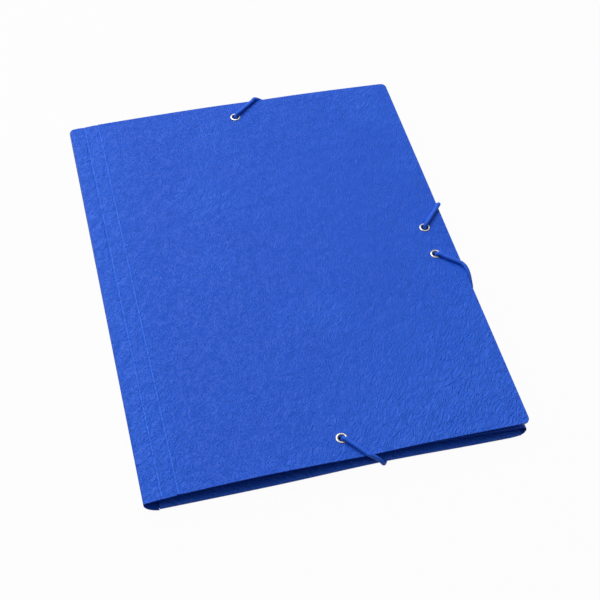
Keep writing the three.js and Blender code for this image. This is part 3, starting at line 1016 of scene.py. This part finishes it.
def tube(name, path, radius, sides):
    """A round tube along a path, with its length and angle kept for the braid."""
    build = bmesh.new()
    braid = build.verts.layers.float_vector.new("braid")
    tangents = []
    for i in range(len(path)):
        before, after = path[max(i - 1, 0)], path[min(i + 1, len(path) - 1)]
        tangents.append((after - before).normalized())
    side = tangents[0].orthogonal().normalized()
    rings, length = [], 0.0
    for i, point in enumerate(path):
        if i:
            length += (point - path[i - 1]).length
            side = (side - side.dot(tangents[i]) * tangents[i]).normalized()
        other = tangents[i].cross(side)
        ring = []
        for k in range(sides):
            angle = 2 * math.pi * k / sides
            spot = point + (side * math.cos(angle) + other * math.sin(angle)) * radius
            new = build.verts.new(place(*spot))
            new[braid] = Vector((length, angle, 0))
            ring.append(new)
        rings.append(ring)
    for a, b in zip(rings, rings[1:]):
        for k in range(sides):
            after = (k + 1) % sides
            build.faces.new((a[k], a[after], b[after], b[k]))
    build.faces.new(rings[0][::-1])
    build.faces.new(rings[-1])
    bmesh.ops.recalc_face_normals(build, faces=build.faces)
    mesh = bpy.data.meshes.new(name)
    build.to_mesh(mesh)
    build.free()
    mesh.shade_smooth()
    mesh.materials.append(cord_finish)
    return new_object(name, mesh)


def knot_path(x, y, z):
    """A tight overhand knot, lying flat."""
    path = []
    for i in range(KNOT_STEPS + 1):
        t = 2 * math.pi * i / KNOT_STEPS
        path.append(
            Vector((
                x + KNOT_SIZE * (math.sin(t) + 2 * math.sin(2 * t)),
                y + KNOT_SIZE * (math.cos(t) - 2 * math.cos(2 * t)),
                z - KNOT_DEPTH * math.sin(3 * t),
            ))
        )
    return path


def join(pieces, name):
    """One piece from several."""
    build = bmesh.new()
    for piece in pieces:
        build.from_mesh(piece.data)
    mesh = bpy.data.meshes.new(name)
    build.to_mesh(mesh)
    build.free()
    for material in pieces[0].data.materials:
        mesh.materials.append(material)
    mesh.shade_smooth()
    for piece in pieces:
        bpy.data.objects.remove(piece)
    return new_object(name, mesh)


cord_lengths = {}
for cord_name, cord in CORDS.items():
    start, loop, end = cord_route(cord)
    path, at = centripetal([*start, *loop, *end], CORD_STEP)
    loop_first = next(i for i, number in enumerate(at) if number >= len(start))
    loop_last = next(i for i, number in enumerate(at) if number >= len(start) + len(loop) - 1)
    cord_lengths[cord_name] = sum((b - a).length for a, b in zip(path, path[1:]))
    runs = [
        tube("run", path[: loop_first + 1], CORD_RADIUS, CORD_SIDES),
        tube("run", path[loop_last:], CORD_RADIUS, CORD_SIDES),
        tube("knot", knot_path(*path[0]), KNOT_CORD_RADIUS, KNOT_SIDES),
        tube("knot", knot_path(*path[-1]), KNOT_CORD_RADIUS, KNOT_SIDES),
    ]
    ends = join(runs, cord_name + "_runs")
    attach(ends, "cover")
    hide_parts(cord_name)
    slack = tube(cord_name + "_loop", path[loop_first : loop_last + 1], CORD_RADIUS, CORD_SIDES)
    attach(slack, "cover")
    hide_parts(cord_name)
    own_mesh(slack)
print("cord lengths in mm:", cord_lengths)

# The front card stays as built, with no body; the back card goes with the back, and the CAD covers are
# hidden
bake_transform(front_card)
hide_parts("front_cover")
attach(back_card, "back")
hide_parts("back_cover")


# Light and camera
LENS = 74.841
SENSOR = 36.0
CAMERA_AT = (-0.14721, -0.52932, 0.66632)
CAMERA_RIGHT = Vector((0.96859, -0.24578, 0.03764))
CAMERA_UP = Vector((0.17032, 0.7661, 0.61974))
CAMERA_FORWARD = Vector((0.18116, 0.59386, -0.78391))
FLOOR_GREY = 0.45
FLOOR_DROP = 0.0001
FLOOR_SEEN_WHITE = 0.965
SKY_TOWARDS = (0.0, 0.45, 0.893)
SKY_DIM = 0.03
SKY_BRIGHT = 0.85


def make_camera():
    data = bpy.data.cameras.new("camera")
    data.lens = LENS
    data.sensor_width = SENSOR
    camera = bpy.data.objects.new("camera", data)
    turn = Matrix((CAMERA_RIGHT, CAMERA_UP, -CAMERA_FORWARD)).transposed().to_4x4()
    camera.matrix_world = Matrix.Translation(CAMERA_AT) @ turn
    data.clip_start = 0.01
    data.clip_end = 100
    bpy.context.collection.objects.link(camera)
    bpy.context.scene.camera = camera


def seen_rays(nodes, links, kinds):
    """1 where the camera looks, or what it looks through or into, and 0 where light is gathered."""
    ray = add_node(nodes, "ShaderNodeLightPath")
    seen = ray.outputs["Is Camera Ray"]
    for kind in kinds:
        seen = math_node(nodes, links, "MAXIMUM", seen, ray.outputs[kind])
    return seen


def make_floor():
    """A plain floor that the camera sees nearly white, with the folder's shadow left on it."""
    build = bmesh.new()
    bmesh.ops.create_grid(build, x_segments=8, y_segments=8, size=4)
    mesh = bpy.data.meshes.new("floor")
    build.to_mesh(mesh)
    build.free()
    floor = new_object("floor", mesh)
    floor.location = (0, 0, -FLOOR_DROP)
    material, nodes, links, shader = node_material("pale floor")
    shader.inputs["Base Color"].default_value = (FLOOR_GREY, FLOOR_GREY, FLOOR_GREY, 1)
    shader.inputs["Roughness"].default_value = 0.9
    shader.inputs["Specular IOR Level"].default_value = 0.1
    seen = seen_rays(nodes, links, ("Is Glossy Ray", "Is Transmission Ray"))
    share = math_node(nodes, links, "MULTIPLY", seen, FLOOR_SEEN_WHITE)
    glow = add_node(nodes, "ShaderNodeEmission", Strength=1.0)
    glow.inputs["Color"].default_value = (1, 1, 1, 1)
    blend = add_node(nodes, "ShaderNodeMixShader")
    links.new(share, blend.inputs["Fac"])
    links.new(shader.outputs[0], blend.inputs[1])
    links.new(glow.outputs[0], blend.inputs[2])
    links.new(blend.outputs[0], nodes["Material Output"].inputs["Surface"])
    mesh.materials.append(material)


def area_light(name, at, size, power):
    """A square lamp, turned to the folder."""
    data = bpy.data.lights.new(name, "AREA")
    data.shape = "SQUARE"
    data.size = size
    data.energy = power
    lamp = bpy.data.objects.new(name, data)
    lamp.location = at
    lamp.rotation_euler = (-Vector(at)).to_track_quat("-Z", "Y").to_euler()
    bpy.context.collection.objects.link(lamp)


def make_world():
    """White where the camera looks, and a soft sky for light, brightest above and behind the folder."""
    world = bpy.data.worlds.new("studio")
    bpy.context.scene.world = world
    world.use_nodes = True
    nodes, links = world.node_tree.nodes, world.node_tree.links
    background = nodes["Background"]
    where = nodes.new("ShaderNodeTexCoord")
    facing = add_node(nodes, "ShaderNodeVectorMath", operation="DOT_PRODUCT")
    links.new(where.outputs["Generated"], facing.inputs[0])
    facing.inputs[1].default_value = SKY_TOWARDS
    sky = ranged(nodes, links, facing.outputs["Value"], (0.05, 1.0, SKY_DIM, SKY_BRIGHT))
    seen = seen_rays(nodes, links, ("Is Transmission Ray",))
    unseen = math_node(nodes, links, "SUBTRACT", 1.0, seen)
    strength = math_node(nodes, links, "MULTIPLY", unseen, sky)
    strength = math_node(nodes, links, "ADD", strength, seen)
    links.new(strength, background.inputs["Strength"])
    background.inputs["Color"].default_value = (1, 1, 1, 1)


make_camera()
make_floor()
make_world()
area_light("overhead", at=(-0.35, 0.95, 1.3), size=1.2, power=18)
area_light("left", at=(-1.4, 0.1, 0.9), size=0.8, power=4)
bpy.context.scene.view_settings.view_transform = "Standard"
